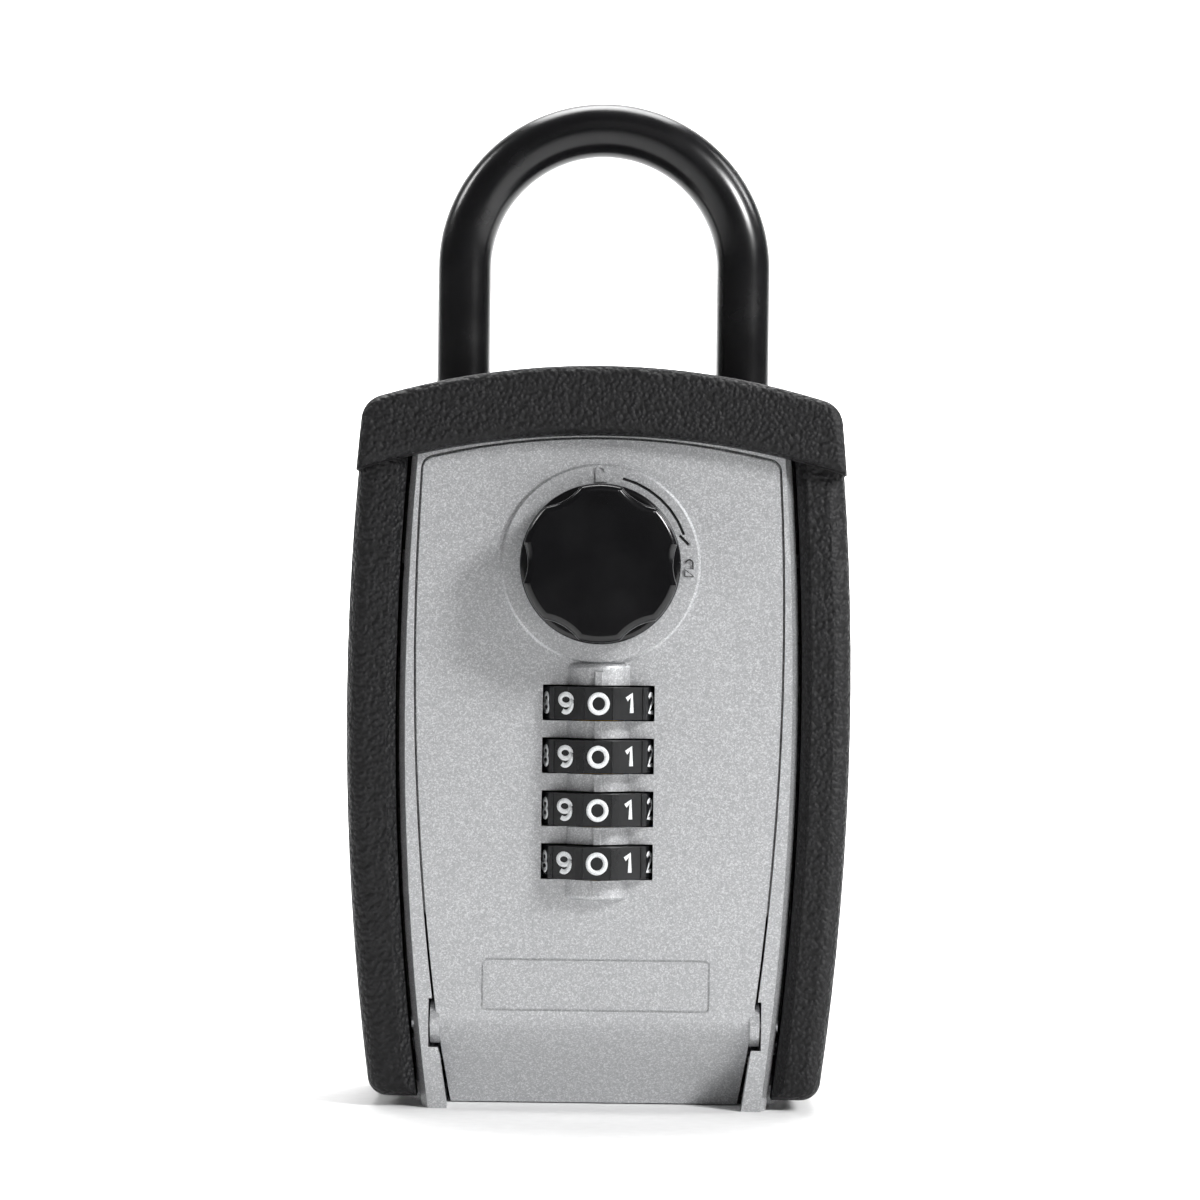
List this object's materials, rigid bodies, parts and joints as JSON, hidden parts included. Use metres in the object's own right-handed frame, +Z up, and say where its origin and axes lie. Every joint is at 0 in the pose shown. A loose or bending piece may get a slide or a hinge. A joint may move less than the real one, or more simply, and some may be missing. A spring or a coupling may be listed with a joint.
{
  "type": "combination key safe with shackle",
  "caption": "Portable key box in a rubber boot, hung from a padlock shackle, with a turning knob, number wheels and a door that hinges down.",
  "frame": {"origin": "on the ground plane under the middle of the bounding box", "axes": "+Z up along the shackle legs, -Y out of the door, +X to the right seen from the front"},
  "size_m": [0.086, 0.0506, 0.1736],
  "materials": {
    "silver_paint": "satin, fine metallic flake",
    "black_rubber": "leather-like grain",
    "black_vinyl": "gloss",
    "gloss_black": "gloss",
    "satin_black": "satin",
    "hard_steel": "ground",
    "plated_steel": "zinc plated",
    "spring_steel": "bright",
    "turned_brass": "turned",
    "grey_plastic": "moulded",
    "blue_plastic": "moulded"
  },
  "bodies": {
    "body": {"body_shell": "silver_paint", "back_plate": "plated_steel", "back_screws": "plated_steel", "bumper": "black_rubber", "hinge_pins": "hard_steel", "bolt_housing": "grey_plastic", "housing_screws": "plated_steel", "bolt_spring": "spring_steel"},
    "shackle": {"shackle_bar": "hard_steel", "shackle_sleeve": "black_vinyl", "heel_clip": "spring_steel"},
    "bolt": {"shackle_bolt": "hard_steel", "release_tab": "blue_plastic"},
    "door": {"door_panel": "silver_paint", "knob_bush": "turned_brass", "mech_plate": "plated_steel", "mech_screws": "plated_steel", "wheel_spindle": "hard_steel", "detent_leaf": "spring_steel", "latch_spring": "spring_steel"},
    "knob": {"knob": "gloss_black", "knob_shaft": "hard_steel", "shaft_clip": "spring_steel", "cam_disc": "plated_steel"},
    "latch": {"latch_plate": "hard_steel", "latch_pin": "hard_steel"},
    "lock_bar": {"locking_bar": "plated_steel", "bar_pin": "hard_steel"},
    "reset": {"reset_slider": "blue_plastic"},
    "wheel_1": {"number_wheel_1": "satin_black", "wheel_hub_1": "turned_brass"},
    "wheel_2": {"number_wheel_2": "satin_black", "wheel_hub_2": "turned_brass"},
    "wheel_3": {"number_wheel_3": "satin_black", "wheel_hub_3": "turned_brass"},
    "wheel_4": {"number_wheel_4": "satin_black", "wheel_hub_4": "turned_brass"}
  },
  "joints": [
    {"name": "door_swing", "type": "hinge", "parent": "body", "child": "door", "pos_m": [0, -0.0096, 0.0145], "axis": [1, 0, 0], "range_deg": [0, 95]},
    {"name": "shackle_lift", "type": "slide", "parent": "body", "child": "shackle", "axis": [0, 0, 1], "range_m": [0, 0.024]},
    {"name": "shackle_bolt_slide", "type": "slide", "parent": "body", "child": "bolt", "axis": [-1, 0, 0], "range_m": [-0.003, 0], "deforming": ["bolt_spring"]},
    {"name": "knob_turn", "type": "hinge", "parent": "door", "child": "knob", "pos_m": [0, -0.014, 0.0928], "axis": [0, 1, 0], "range_deg": [0, 90]},
    {"name": "latch_slide", "type": "slide", "parent": "door", "child": "latch", "axis": [0, 0, 1], "range_m": [-0.00301, 0], "deforming": ["latch_spring"]},
    {"name": "locking_bar_slide", "type": "slide", "parent": "door", "child": "lock_bar", "axis": [1, 0, 0], "range_m": [0, 0.00151]},
    {"name": "wheel_1_turn", "type": "hinge", "parent": "door", "child": "wheel_1", "pos_m": [0, -0.0096, 0.0692], "axis": [0, 0, 1], "continuous": true},
    {"name": "wheel_2_turn", "type": "hinge", "parent": "door", "child": "wheel_2", "pos_m": [0, -0.0096, 0.0602], "axis": [0, 0, 1], "continuous": true},
    {"name": "wheel_3_turn", "type": "hinge", "parent": "door", "child": "wheel_3", "pos_m": [0, -0.0096, 0.0512], "axis": [0, 0, 1], "continuous": true},
    {"name": "wheel_4_turn", "type": "hinge", "parent": "door", "child": "wheel_4", "pos_m": [0, -0.0096, 0.0422], "axis": [0, 0, 1], "continuous": true},
    {"name": "code_reset_slide", "type": "slide", "parent": "door", "child": "reset", "axis": [0, 0, 1], "range_m": [0, 0.005]}
  ],
  "couplings": [
    {"joint": "latch_slide", "follows": "knob_turn", "m_per_rad": -0.0019099},
    {"joint": "locking_bar_slide", "follows": "knob_turn", "m_per_rad": 0.00095493}
  ]
}
